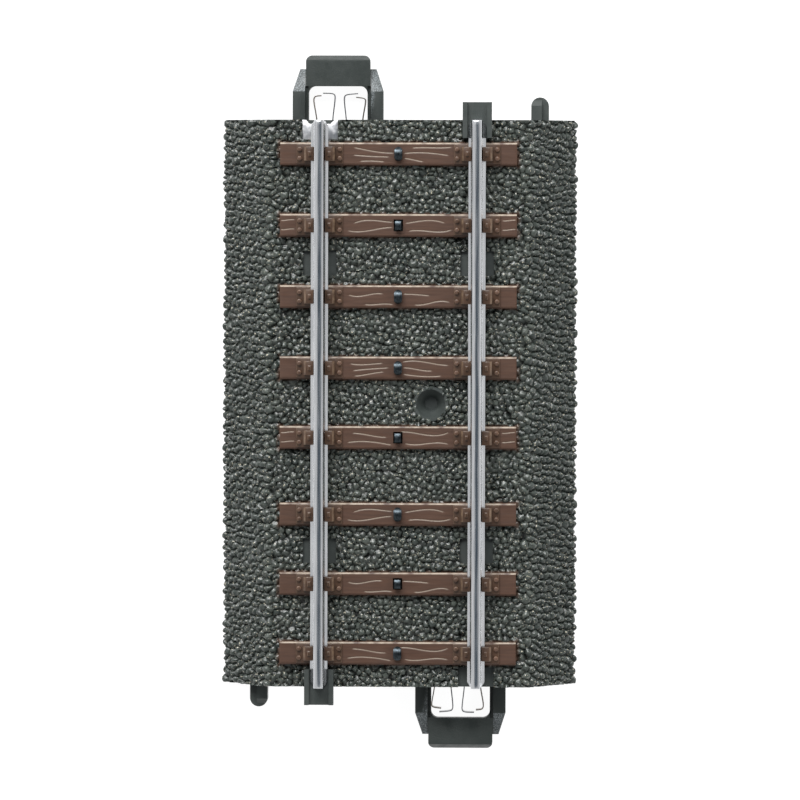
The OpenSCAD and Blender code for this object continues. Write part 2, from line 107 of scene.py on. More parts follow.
def grid_solid(name, top, bottom, keep, attributes=None):
    """A closed mesh over the kept cells of a grid.

    top and bottom hold a point in mm for each grid crossing, and each attribute holds a value for it.
    """
    nu, nv = top.shape[:2]
    index = np.arange(nu * nv).reshape(nu, nv)
    under = index + nu * nv
    a, b, c, d = index[:-1, :-1], index[1:, :-1], index[1:, 1:], index[:-1, 1:]
    a2, b2, c2, d2 = under[:-1, :-1], under[1:, :-1], under[1:, 1:], under[:-1, 1:]
    padded = np.pad(keep, 1)
    edges = {
        "v_low": keep & ~padded[1:-1, :-2],
        "v_high": keep & ~padded[1:-1, 2:],
        "u_low": keep & ~padded[:-2, 1:-1],
        "u_high": keep & ~padded[2:, 1:-1],
    }
    quads = [
        np.stack([a, b, c, d], -1)[keep],
        np.stack([a2, d2, c2, b2], -1)[keep],
        np.stack([a2, b2, b, a], -1)[edges["v_low"]],
        np.stack([c2, d2, d, c], -1)[edges["v_high"]],
        np.stack([d2, a2, a, d], -1)[edges["u_low"]],
        np.stack([b2, c2, c, b], -1)[edges["u_high"]],
    ]
    faces = np.concatenate(quads)
    used, faces = np.unique(faces, return_inverse=True)
    faces = faces.reshape(-1, 4)
    points = np.concatenate([top.reshape(-1, 3), bottom.reshape(-1, 3)])[used] * MM
    mesh = bpy.data.meshes.new(name)
    mesh.vertices.add(len(points))
    mesh.vertices.foreach_set("co", points.astype(np.float32).ravel())
    mesh.loops.add(faces.size)
    mesh.loops.foreach_set("vertex_index", faces.astype(np.int32).ravel())
    mesh.polygons.add(len(faces))
    mesh.polygons.foreach_set("loop_start", np.arange(0, faces.size, 4, dtype=np.int32))
    mesh.update(calc_edges=True)
    mesh.polygons.foreach_set("use_smooth", np.ones(len(faces), bool))
    for key, values in (attributes or {}).items():
        both = np.concatenate([values.ravel(), values.ravel()])[used]
        layer = mesh.attributes.new(key, "FLOAT", "POINT")
        layer.data.foreach_set("value", both.astype(np.float32))
    mesh.set_sharp_from_angle(angle=math.radians(50))
    mesh.validate()
    return mesh


def tube(name, rings, sharp):
    """A closed mesh through a run of rings of points in mm, sharp where faces meet at more than an angle."""
    count = len(rings[0])
    last = (len(rings) - 1) * count
    faces = []
    for start in range(0, last, count):
        for i in range(count):
            j = (i + 1) % count
            faces.append((start + i, start + j, start + count + j, start + count + i))
    faces.append(tuple(range(count))[::-1])
    faces.append(tuple(range(last, last + count)))
    mesh = bpy.data.meshes.new(name)
    mesh.from_pydata((np.concatenate(rings) * MM).tolist(), [], faces)
    bm = bmesh.new()
    bm.from_mesh(mesh)
    bmesh.ops.recalc_face_normals(bm, faces=bm.faces)
    bm.to_mesh(mesh)
    bm.free()
    mesh.polygons.foreach_set("use_smooth", np.ones(len(mesh.polygons), bool))
    mesh.set_sharp_from_angle(angle=math.radians(sharp))
    return mesh


def grid_lines(low, high, step, keys=()):
    """Grid coordinates from low to high, about step apart, that pass exactly through the key values."""
    stops = [low, *sorted(k for k in keys if low + step / 3 < k < high - step / 3), high]
    parts = [
        np.linspace(s, e, max(1, round((e - s) / step)), endpoint=False)
        for s, e in zip(stops, stops[1:])
    ]
    return np.concatenate([*parts, [high]])


# ---- Materials ----

class Shader:
    """A node material with one Principled shader, built by short calls."""

    def __init__(self, name):
        self.material = bpy.data.materials.new(name)
        self.material.use_nodes = True
        self.tree = self.material.node_tree
        self.bsdf = self.tree.nodes["Principled BSDF"]
        self.coords = self.tree.nodes.new("ShaderNodeTexCoord").outputs["Object"]

    def feed(self, socket, value):
        """Links a socket to another node's output, or sets it to a constant."""
        if isinstance(value, bpy.types.NodeSocket):
            self.tree.links.new(value, socket)
        else:
            socket.default_value = value

    def node(self, kind, **inputs):
        made = self.tree.nodes.new(kind)
        for key, value in inputs.items():
            self.feed(made.inputs[key], value)
        return made

    def noise(self, size_mm, stretch=(1, 1, 1), detail=3.0):
        """Noise whose features are about size_mm across, drawn out along an axis by its stretch."""
        mapping = self.node("ShaderNodeMapping", Vector=self.coords)
        mapping.inputs["Scale"].default_value = [1 / (s * size_mm * MM) for s in stretch]
        made = self.node("ShaderNodeTexNoise", Vector=mapping.outputs[0], Scale=1.0, Detail=detail)
        return made.outputs[0]

    def ramp(self, factor, stops):
        """Colour ramp over (position, colour) stops."""
        made = self.node("ShaderNodeValToRGB", Fac=factor)
        ramp = made.color_ramp
        while len(ramp.elements) < len(stops):
            ramp.elements.new(0.5)
        for element, (position, colour) in zip(ramp.elements, stops):
            element.position = position
            element.color = (*colour, 1)
        return made.outputs[0]

    def span(self, factor, low, high, from_low=0.3, from_high=0.7):
        """factor stretched from its own range to low..high."""
        made = self.node("ShaderNodeMapRange", Value=factor)
        ends = {"From Min": from_low, "From Max": from_high, "To Min": low, "To Max": high}
        for key, value in ends.items():
            made.inputs[key].default_value = value
        return made.outputs[0]

    def mix(self, factor, first, second, blend="MIX"):
        """Two colours mixed or multiplied; each is a node's output or a tuple."""
        made = self.tree.nodes.new("ShaderNodeMix")
        made.data_type = "RGBA"
        made.blend_type = blend
        for socket, value in ((made.inputs[0], factor), (made.inputs[6], first), (made.inputs[7], second)):
            self.feed(socket, (*value, 1) if isinstance(value, tuple) else value)
        return made.outputs[2]

    def math(self, kind, first, second):
        made = self.tree.nodes.new("ShaderNodeMath")
        made.operation = kind
        for socket, value in zip(made.inputs, (first, second)):
            self.feed(socket, value)
        return made.outputs[0]

    def distance(self, place, middle=0.0):
        """How far a coordinate is from a middle value, either way."""
        return self.math("ABSOLUTE", self.math("SUBTRACT", place, middle), 0.0)

    def upward(self):
        """How far the surface faces up: the Z of its own normal."""
        normal = self.tree.nodes.new("ShaderNodeTexCoord").outputs["Normal"]
        return self.node("ShaderNodeSeparateXYZ", Vector=normal).outputs["Z"]

    def attribute(self, name):
        made = self.tree.nodes.new("ShaderNodeAttribute")
        made.attribute_name = name
        return made.outputs["Fac"]

    def bump(self, height, depth_mm):
        made = self.node("ShaderNodeBump", Height=height, Strength=1.0, Distance=depth_mm * MM)
        self.tree.links.new(made.outputs[0], self.bsdf.inputs["Normal"])

    def colour(self, socket):
        self.tree.links.new(socket, self.bsdf.inputs["Base Color"])

    def roughness(self, socket):
        self.tree.links.new(socket, self.bsdf.inputs["Roughness"])


def ballast_material():
    """Glossy stones in dark grey-greens with painted glints as pale flecks, painted shade between them and on
    the slopes, and brown where sleeper paint strays over them.
    """
    s = Shader("ballast_stones")
    # The tone attribute holds each stone's own tone, darkened on the slopes as painted shade
    tones = s.ramp(s.attribute("tone"), [(0.0, (0.032, 0.040, 0.036)), (1.0, (0.067, 0.077, 0.067))])
    mottle = s.ramp(s.noise(0.3), [(0.3, (0.65, 0.65, 0.65)), (0.7, (1.25, 1.25, 1.25))])
    stones = s.mix(1.0, tones, mottle, "MULTIPLY")
    # Pale flecks are painted glints on the stones
    painted_glint_flecks = s.mix(s.span(s.noise(0.2, detail=1.0), 0.0, 0.9, 0.67, 0.72), stones, (0.48, 0.44, 0.34))
    # Painted shade: the low ground between the stones is darkened
    painted_gap_shade = s.span(s.attribute("height"), 0.12, 1.05, 0.05, 0.45)
    shaded = s.mix(1.0, painted_glint_flecks, painted_gap_shade, "MULTIPLY")
    s.colour(s.mix(s.attribute("paint"), shaded, (0.065, 0.038, 0.026)))
    s.roughness(s.span(s.noise(0.5), 0.12, 0.28))
    s.bump(s.noise(0.13), 0.035)
    return s.material


def moulded_material(name, dark, light, grain_mm, grain_depth):
    """Satin moulded plastic with an eroded-mould grain."""
    s = Shader(name)
    s.colour(s.ramp(s.noise(2.5), [(0.3, dark), (0.7, light)]))
    s.roughness(s.span(s.noise(0.8), 0.42, 0.58))
    s.bump(s.noise(grain_mm, detail=5.0), grain_depth)
    return s.material


def chair_material(name, dark, light, painted_edge_highlight, rough):
    """Painted plastic with a painted highlight: its bevelled edges that face partly up are lighter."""
    s = Shader(name)
    # Painted highlight on bevelled edges, by how far they face up, made patchy
    edges = s.ramp(s.upward(), [(0.3, (0, 0, 0)), (0.5, (1, 1, 1)), (0.82, (1, 1, 1)), (0.95, (0, 0, 0))])
    patches = s.span(s.noise(0.6), 0.15, 0.75, 0.35, 0.65)
    paint = s.ramp(s.noise(1.5), [(0.3, dark), (0.7, light)])
    s.colour(s.mix(s.math("MULTIPLY", edges, patches), paint, painted_edge_highlight))
    s.roughness(s.span(s.noise(0.8), *rough))
    s.bump(s.noise(0.2, detail=5.0), 0.01)
    return s.material


def loop_material():
    """Satin moulded plastic, sandy where its arms slant, with a painted highlight that makes the slants pale.
    """
    s = Shader("loop_plastic")
    slanted = s.ramp(s.upward(), [(0.2, (0, 0, 0)), (0.35, (1, 1, 1)), (0.93, (1, 1, 1)), (0.985, (0, 0, 0))])
    x = s.node("ShaderNodeSeparateXYZ", Vector=s.coords).outputs["X"]
    from_mid = s.distance(s.distance(x), LOOP_X * MM)
    arms = s.span(from_mid, 0.0, 1.0, LOOP_BAR_HALF * MM, (LOOP_BAR_HALF + 0.1) * MM)
    slant = s.math("MULTIPLY", slanted, arms)
    # Sandy texture on the slants, made pale by a painted highlight
    sand_and_highlight = s.ramp(s.noise(0.13, detail=2.0), [(0.42, (0.03, 0.037, 0.037)), (0.64, (0.17, 0.19, 0.20))])
    plain = s.ramp(s.noise(2.5), [(0.3, (0.018, 0.024, 0.022)), (0.7, (0.026, 0.032, 0.030))])
    s.colour(s.mix(slant, plain, sand_and_highlight))
    s.roughness(s.span(s.noise(0.8), 0.42, 0.58))
    s.bump(s.noise(0.13, detail=4.0), 0.02)
    return s.material


def sleeper_material():
    """Brown wood-effect plastic with streaks along it, pale in its grain lines, partly as wear and partly as
    painted highlight, and pale along its north edge as painted highlight.
    """
    s = Shader("sleeper_brown")
    streaks = s.noise(0.25, (12, 1, 1))
    brown = s.ramp(streaks, [(0.3, (0.050, 0.023, 0.013)), (0.7, (0.070, 0.033, 0.019))])
    s.colour(s.mix(s.attribute("wear_and_highlight"), brown, (0.52, 0.44, 0.34)))
    s.roughness(s.span(s.noise(0.4, (6, 1, 1)), 0.46, 0.60))
    s.bump(s.noise(0.12, (10, 1, 1)), 0.01)
    return s.material


def metal_material(name, dark, light, rough, streak=(1, 30, 1), size_mm=0.12):
    """Bright metal with fine drawing marks along the stretched axis."""
    s = Shader(name)
    s.bsdf.inputs["Metallic"].default_value = 1.0
    marks = s.noise(size_mm, streak)
    s.colour(s.ramp(marks, [(0.3, dark), (0.7, light)]))
    s.roughness(s.span(s.noise(size_mm * 2, streak), *rough))
    s.bump(marks, 0.003)
    return s.material


MATERIALS = {
    "ballast": ballast_material(),
    "shell": moulded_material("shell_plastic", (0.030, 0.037, 0.035), (0.042, 0.049, 0.046), 0.18, 0.012),
    "loop": loop_material(),
    "sleeper": sleeper_material(),
    "chair": chair_material(
        "chair_brown", (0.046, 0.024, 0.014), (0.076, 0.041, 0.025),
        painted_edge_highlight=(0.18, 0.12, 0.075), rough=(0.28, 0.4),
    ),
    "bolt": chair_material(
        "bolt_copper", (0.060, 0.034, 0.022), (0.11, 0.063, 0.044),
        painted_edge_highlight=(0.30, 0.18, 0.11), rough=(0.25, 0.4),
    ),
    "rail": metal_material("rail_steel", (0.62, 0.64, 0.67), (0.86, 0.87, 0.89), (0.16, 0.3)),
    "stud": metal_material(
        "stud_steel", (0.022, 0.028, 0.033), (0.07, 0.085, 0.095), (0.3, 0.42), streak=(1, 3, 1)
    ),
    "tin": metal_material(
        "tinned_plate", (0.70, 0.71, 0.73), (0.90, 0.90, 0.91), (0.3, 0.45), streak=(1, 1, 1), size_mm=0.3
    ),
    "contact": metal_material(
        "contact_steel", (0.42, 0.41, 0.38), (0.62, 0.60, 0.56), (0.25, 0.4), streak=(1, 8, 1)
    ),
    "spring": metal_material(
        "spring_steel", (0.30, 0.30, 0.31), (0.50, 0.50, 0.51), (0.22, 0.36), streak=(1, 8, 1)
    ),
    "bronze": metal_material(
        "spring_bronze", (0.22, 0.19, 0.16), (0.38, 0.33, 0.28), (0.25, 0.4), streak=(1, 8, 1)
    ),
}


# ---- Ballast stones ----

# Layout, in mm and radians
STONE_SPACING = 0.75
STONE_JITTER = 0.23
STONE_TURN = 0.4
STONE_GRID = 0.11
ROW_RATIO = 0.87  # Rows of a triangular layout are this share of the spacing apart
COARSE_FROM = TOP_HALF - 0.5  # The slopes' stones are coarser, from just inside the crease
COARSE = 1.18
END_OVERHANG = 0.04

# Shape of one stone, in mm before its zone's scale. A pair is the range that a stone's value is drawn from.
STONE_SIZE = (0.82, 1.2)
STONE_REACH = 1.7
CREST = (0.36, 0.66)
COARSE_CREST = 0.12
TILT = 0.38
COARSE_TILT = 0.4  # Share by which the coarse stones' crowns tilt less
FACETS = (4, 7)
FACET_FLAT = (0.05, 0.22)
FACET_FALL = (0.35, 1.0)
STONE_ROUND = 0.24
STONE_WALL = 0.62
CROWN_BLEND = 0.06
GAP_FLOOR = (0.02, 0.03)  # Lowest the field goes, and the height at a stone's foot
STONE_BURY = 0.35

# Slopes, and the paint that strays from the sleepers
SLOPE_L = math.hypot(BASE_HALF - TOP_HALF, BED_TOP)
SLOPE_ANGLE = math.atan2(BED_TOP, BASE_HALF - TOP_HALF)
CREASE_W = 1.6
SLOPE_SWELL = 0.2
# Share by which the slopes' stones are darkened, as painted shade
SLOPE_PAINTED_SHADE = 0.6
SLEEPER_TUCK = 0.2
PAINT_SPREAD = 0.18
PAINT_SPREAD_ENDS = 0.2
PAINTED_TONE = 0.35
BALLAST_BANDS = 6


def bed_surface(u, v, h):
    """Points h above the smooth roadbed, where u runs across it along its outline and v along the track."""
    side = np.sign(u)
    down = np.clip(np.abs(u) - TOP_HALF, 0, None)
    x = side * (np.minimum(np.abs(u), TOP_HALF) + down * math.cos(SLOPE_ANGLE))
    z = BED_TOP - down * math.sin(SLOPE_ANGLE)
    turn = np.clip((np.abs(u) - TOP_HALF) / CREASE_W + 0.5, 0, 1)
    lean = SLOPE_ANGLE * turn * turn * (3 - 2 * turn)
    x = x + side * np.sin(lean) * h
    z = z + np.cos(lean) * h
    return np.stack([x, v + np.zeros_like(x), np.maximum(z, 0.0)], -1)


def stone_centres(rng):
    """Each stone's u, v and scale, from a turned and jittered triangular layout of the unrolled bed."""
    half_u, half_v = TOP_HALF + SLOPE_L + 1, END_Y + 1
    reach = math.hypot(half_u, half_v)
    zones = []
    for scale, low, high in ((1.0, 0, COARSE_FROM), (COARSE, COARSE_FROM, half_u)):
        spacing = STONE_SPACING * scale
        centres = []
        for k, row in enumerate(np.arange(-reach, reach, spacing * ROW_RATIO)):
            along = np.arange(-reach, reach, spacing) + (k % 2) * spacing / 2
            centres.append(np.stack([np.full(along.shape, row), along], -1))
        centres = np.concatenate(centres)
        c, s = math.cos(STONE_TURN), math.sin(STONE_TURN)
        centres = centres @ np.array([[c, s], [-s, c]])
        away = np.abs(centres[:, 0])
        centres = centres[(away >= low) & (away < high) & (np.abs(centres[:, 1]) < half_v)]
        jitter = STONE_JITTER * scale
        centres = centres + rng.uniform(-jitter, jitter, centres.shape)
        zones.append(np.concatenate([centres, np.full((len(centres), 1), scale)], 1))
    return np.concatenate(zones)


def stone_cap(du, dv, coarse, rng):
    """Height of one stone's faceted crown about its centre: the coarse stones are fuller and rounder."""
    crest = rng.uniform(*CREST) + COARSE_CREST * coarse
    tilt = rng.normal(0, TILT, 2) * (1 - COARSE_TILT * coarse)
    planes = [crest + tilt[0] * du + tilt[1] * dv]
    sides = rng.integers(*FACETS)
    start = rng.uniform(0, 2 * math.pi)
    for k in range(sides):
        angle = start + 2 * math.pi * (k + rng.uniform(-0.3, 0.3)) / sides
        flat = rng.uniform(*FACET_FLAT)
        fall = rng.uniform(*FACET_FALL)
        planes.append(crest + (flat - du * math.cos(angle) - dv * math.sin(angle)) * fall)
    return np.minimum.reduce(planes)


def stone_heights(us, vs, rng):
    """Height and tone fields of packed stones: each stone keeps to its own cell, with a gap all round."""
    nearest = np.full((len(us), len(vs)), 9.0)
    second = nearest.copy()
    crown = np.zeros_like(nearest)
    tone = np.zeros_like(nearest)
    size_here = np.ones_like(nearest)
    for u, v, scale in stone_centres(rng):
        size = rng.uniform(*STONE_SIZE)
        shade = rng.uniform()
        i0, i1 = np.searchsorted(us, [u - STONE_REACH, u + STONE_REACH])
        j0, j1 = np.searchsorted(vs, [v - STONE_REACH, v + STONE_REACH])
        du = us[i0:i1, None] - u
        dv = vs[None, j0:j1] - v
        away = np.hypot(du, dv) / size
        cap = stone_cap(du / scale, dv / scale, scale > 1, rng) * scale
        window = (slice(i0, i1), slice(j0, j1))
        closer = away < nearest[window]
        second[window] = np.where(closer, nearest[window], np.minimum(second[window], away))
        crown[window] = np.where(closer, cap, crown[window])
        tone[window] = np.where(closer, shade, tone[window])
        size_here[window] = np.where(closer, scale, size_here[window])
        nearest[window] = np.minimum(nearest[window], away)
    edge = np.clip((second - nearest) / 2 / STONE_ROUND / size_here**2, 0, 1)
    wall = GAP_FLOOR[1] + STONE_WALL * size_here * np.sqrt(1 - (1 - edge) ** 2)
    low = np.minimum(crown, wall)
    soft = low - CROWN_BLEND * np.exp(-np.abs(crown - wall) / CROWN_BLEND) / 2
    return np.maximum(soft, GAP_FLOOR[0]), tone


def in_rectangle(x, y, x0, x1, y0, y1):
    return (x > x0) & (x < x1) & (y > y0) & (y < y1)


# Bare places in the stones, in mm: pockets over the rail conductors' links, the recess of the contact plate
# and its twin at the other end, and the guide channels
POCKET_HALF_X, POCKET_HALF_Y, POCKET_SHIFT = 1.9, 1.4, 0.4
RECESS_HALF_X, RECESS_L = (plate_high[0] - plate_low[0]) / 2, plate_high[1] - plate_low[1]
CHANNEL_HALF_X, CHANNEL_L = 1.65, 2.0


def clearings():
    """Rectangles with no stones on the roadbed's top: x0, x1, y0, y1."""
    found = []
    for end in (-1, 1):
        y = end * LINK_Y - POCKET_SHIFT
        for x in (-RAIL_X, RAIL_X):
            found.append((x - POCKET_HALF_X, x + POCKET_HALF_X, y - POCKET_HALF_Y, y + POCKET_HALF_Y))
        x = -end * RAIL_X
        y0, y1 = sorted((end * (END_Y - RECESS_L), end * (END_Y + 1)))
        found.append((x - RECESS_HALF_X, x + RECESS_HALF_X, y0, y1))
        x = end * RAIL_X
        y0, y1 = sorted((end * (END_Y - CHANNEL_L), end * (END_Y + 1)))
        found.append((x - CHANNEL_HALF_X, x + CHANNEL_HALF_X, y0, y1))
    return found


def ballast_field():
    """Grid lines and fields of the stones: heights, the cells kept, stray paint and tone, which is darkened on
    the slopes as painted shade.
    """
    rng = np.random.default_rng(11)
    half_u = TOP_HALF + SLOPE_L
    cleared = clearings()
    x_keys = sorted({round(x, 4) for c in cleared for x in c[:2]})
    y_keys = sorted({round(y, 4) for c in cleared for y in c[2:]})
    us = grid_lines(-half_u, half_u, STONE_GRID, x_keys)
    vs = grid_lines(-END_Y - END_OVERHANG, END_Y + END_OVERHANG, STONE_GRID, y_keys)
    height, tone = stone_heights(us, vs, rng)
    on_slope = np.clip(np.abs(us[:, None]) - TOP_HALF, 0, 1)
    # Painted shade: the slopes' stones get a darker tone
    tone *= 1 - SLOPE_PAINTED_SHADE * on_slope
    height *= 1 + SLOPE_SWELL * on_slope
    mid_u = (us[:-1, None] + us[1:, None]) / 2 + np.zeros((1, len(vs) - 1))
    mid_v = (vs[None, :-1] + vs[None, 1:]) / 2 + np.zeros((len(us) - 1, 1))
    keep = np.ones(mid_u.shape, bool)
    for rectangle in cleared:
        keep &= ~in_rectangle(mid_u, mid_v, *rectangle)
    half_l, half_w = SLEEPER_HALF_L - SLEEPER_TUCK, SLEEPER_HALF_W - SLEEPER_TUCK
    for y in SLEEPER_Y:
        keep &= ~in_rectangle(mid_u, mid_v, -half_l, half_l, y - half_w, y + half_w)
    keep &= np.hypot(mid_u - SCREW_X, mid_v) > SCREW_CLEAR
    paint = np.zeros_like(height)
    for y in SLEEPER_Y:
        away_u = np.clip(np.abs(us[:, None]) - SLEEPER_HALF_L, 0, None)
        away_v = np.clip(np.abs(vs[None, :] - y) - SLEEPER_HALF_W, 0, None)
        spread = PAINT_SPREAD + PAINT_SPREAD_ENDS * (away_u > 0)
        paint = np.maximum(paint, np.clip(1.3 - np.hypot(away_u, away_v) / spread, 0, 1))
    paint *= tone > PAINTED_TONE
    return us, vs, height, keep, paint, tone


def with_ends(field):
    """A field with its first and last rows repeated."""
    return np.concatenate([field[:1], field, field[-1:]])


def build_ballast():
    """The stones, cut across the track into bands that are each a closed mesh."""
    us, vs, height, keep, paint, tone = ballast_field()
    u, v = np.meshgrid(us, vs, indexing="ij")
    top = bed_surface(u, v, height)
    bottom = bed_surface(u, v, np.full_like(height, -STONE_BURY))
    # The stones' cut edge round the screw recess is drawn in to a clean circle
    away = np.hypot(top[..., 0] - SCREW_X, top[..., 1])
    rim = (away < SCREW_CLEAR + 0.05) & (away > 0)
    scale = np.where(rim, SCREW_CLEAR / np.maximum(away, 1e-6), 1.0)
    for layer in (top, bottom):
        layer[..., 0] = SCREW_X + (layer[..., 0] - SCREW_X) * scale
        layer[..., 1] = layer[..., 1] * scale
    # One more row at each outer edge brings the stones' foot down to the base
    top, bottom, keep, height, paint, tone = (with_ends(f) for f in (top, bottom, keep, height, paint, tone))
    top[[0, -1], :, 2] = 0.0
    cuts = np.linspace(0, len(vs) - 1, BALLAST_BANDS + 1).round().astype(int)
    for k, (j0, j1) in enumerate(zip(cuts, cuts[1:])):
        name = f"ballast_{BALLAST_BANDS - k}"
        span = slice(j0, j1 + 1)
        mesh = grid_solid(
            name, top[:, span], bottom[:, span], keep[:, j0:j1],
            {"height": height[:, span], "paint": paint[:, span], "tone": tone[:, span]},
        )
        new_object(name, mesh, MATERIALS["ballast"])


build_ballast()


# ---- Sleepers ----

# Sizes in mm
BEVEL = 0.22
BEVEL_DROP = 0.1
EDGE_ROUND = 0.1
SLEEPER_GRID = (0.13, 0.04)
STUD_HOLE_HALF = (0.53, 0.66)
CHAIR_HALF = 2.6
LINE_W = 0.13
LINE_DEPTH = 0.055
LINE_FROM = 0.75  # The grain lines' zero, beside the stud
LINE_FADE = 0.04  # Share of the free length over which a line fades out at its ends
END_CUT_Y = (0.6, -0.45)
END_CUT_HALF_W = 0.08
END_CROSS_IN = 0.42
CROSS_DEPTH = 0.7

# Pale colour, as shares of its full strength: partly wear and partly painted highlight in the grain lines,
# painted highlight along the north edge
LINE_WEAR_AND_HIGHLIGHT = 0.56
EDGE_HIGHLIGHT = 0.7
EDGE_HIGHLIGHT_IN = 0.13  # Its line's distance from the sleeper's edge, and the line's half width, in mm

# Grain cut into the sleepers' left and right halves. Each line is a cubic curve through four points. Each
# point is a share of the free length from the stud to the chair and a share of half the width, north positive.
GRAIN = {
    "a": (
        [
            [(-0.05, 0.11), (0.25, 0.17), (0.51, 0.35), (0.78, 0.59)],
            [(0.05, -0.23), (0.3, -0.2), (0.5, -0.16), (0.79, -0.07)],
            [(0.15, -0.66), (0.3, -0.6), (0.5, -0.58), (0.66, -0.62)],
        ],
        [
            [(0.14, 0.54), (0.4, 0.58), (0.7, 0.56), (0.96, 0.63)],
            [(-0.03, 0.07), (0.33, 0.14), (0.62, 0.06), (0.89, -0.11)],
            [(-0.03, -0.36), (0.12, -0.43), (0.25, -0.55), (0.38, -0.64)],
        ],
    ),
    "b": (
        [
            [(-0.03, 0.3), (0.15, 0.36), (0.41, 0.46), (0.78, 0.17)],
            [(-0.02, -0.14), (0.25, -0.26), (0.61, -0.51), (0.9, -0.42)],
        ],
        [
            [(0.0, 0.2), (0.24, 0.36), (0.49, 0.46), (0.82, 0.2)],
            [(0.07, -0.48), (0.34, -0.42), (0.7, -0.53), (0.96, -0.32)],
        ],
    ),
    "c": (
        [
            [(0.17, 0.26), (0.46, 0.2), (0.71, 0.05), (0.89, 0.21)],
            [(-0.04, -0.67), (0.13, -0.59), (0.33, -0.65), (0.56, -0.62)],
        ],
        [
            [(-0.04, 0.27), (0.19, 0.23), (0.37, 0.17), (0.51, 0.11)],
            [(0.19, -0.65), (0.44, -0.59), (0.67, -0.37), (0.92, -0.47)],
        ],
    ),
    "d": (
        [
            [(0.17, 0.44), (0.41, 0.36), (0.61, 0.31), (0.85, 0.41)],
            [(0.05, 0.06), (0.31, -0.02), (0.56, -0.1), (0.79, -0.2)],
            [(0.15, -0.3), (0.36, -0.42), (0.56, -0.57), (0.76, -0.67)],
        ],
        [
            [(-0.05, 0.54), (0.24, 0.64), (0.57, 0.43), (0.9, 0.28)],
            [(-0.04, 0.06), (0.14, 0.0), (0.34, -0.15), (0.57, -0.2)],
            [(-0.04, -0.49), (0.19, -0.62), (0.42, -0.69), (0.75, -0.64)],
        ],
    ),
    "e": (
        [
            [(0.09, 0.06), (0.33, 0.14), (0.59, 0.33), (0.8, 0.4)],
            [(-0.01, -0.62), (0.25, -0.42), (0.51, -0.31), (0.9, -0.42)],
        ],
        [
            [(-0.09, 0.53), (0.24, 0.41), (0.6, 0.22), (0.91, 0.51)],
            [(0.0, -0.46), (0.34, -0.54), (0.67, -0.4), (0.9, -0.54)],
        ],
    ),
}
PATTERNS = "abcdebce"
END_MARKED = {1, 4}


def grain_depth(xs, ys, lines, side, half_w):
    """Depth of the grain cut into half a sleeper: each line is gentle on its south and steep on its north."""
    free = RAIL_X - CHAIR_HALF - LINE_FROM
    depth = np.zeros((len(xs), len(ys)))
    t = (side * xs - LINE_FROM) / free
    for points in lines:
        at, high = np.array(points).T
        line = half_w * np.polyval(np.polyfit(at, high, 3), np.clip(t, at[0], at[-1]))
        fade = np.clip(np.minimum(t - at[0], at[-1] - t) / LINE_FADE, 0, 1)
        across = ys[None, :] - line[:, None]
        gentle = np.clip(1 + across / LINE_W, 0, 1) * (across < 0)
        steep = np.clip(1 - across / (LINE_W / 3), 0, 1) * (across >= 0)
        depth = np.maximum(depth, (gentle + steep) * fade[:, None] * LINE_DEPTH)
    return depth


def end_marks(xs, ys, half_l):
    """Short cuts across the outer ends of some sleepers."""
    depth = np.zeros((len(xs), len(ys)))
    along = (np.abs(xs) > RAIL_X + CHAIR_HALF + 0.25) & (np.abs(xs) < half_l - 0.15)
    for y in END_CUT_Y:
        line = y + 0.05 * np.sin(3 * xs)
        cut = np.clip(1 - np.abs(ys[None, :] - line[:, None]) / END_CUT_HALF_W, 0, 1)
        depth = np.maximum(depth, cut * along[:, None] * LINE_DEPTH)
    cross = np.clip(1 - np.abs(np.abs(xs) - half_l + END_CROSS_IN) / END_CUT_HALF_W, 0, 1)
    return np.maximum(depth, cross[:, None] * LINE_DEPTH * CROSS_DEPTH * np.ones_like(ys)[None, :])


def edge_drop(distance):
    """How far a sleeper's top has fallen at a distance from its long edge: a gentle bevel, then a round."""
    bevel = np.clip(1 - distance / BEVEL, 0, 1) * BEVEL_DROP
    rounding = np.clip(1 - distance / (EDGE_ROUND / 2), 0, 1) ** 2 * EDGE_ROUND
    return bevel + rounding


def north_edge_highlight(xs, ys, half_w, seed):
    """Painted highlight along a sleeper's north edge, patchy along its length."""
    edge = np.clip(1 - np.abs(half_w - EDGE_HIGHLIGHT_IN - ys) / EDGE_HIGHLIGHT_IN, 0, 1)
    patches = sum(np.sin(k * (xs + 1.7 * seed) + k * k) for k in (0.5, 1.3, 2.9, 5.7)) / 4
    return EDGE_HIGHLIGHT * edge[None, :] * np.clip(0.75 + patches, 0, 1)[:, None]


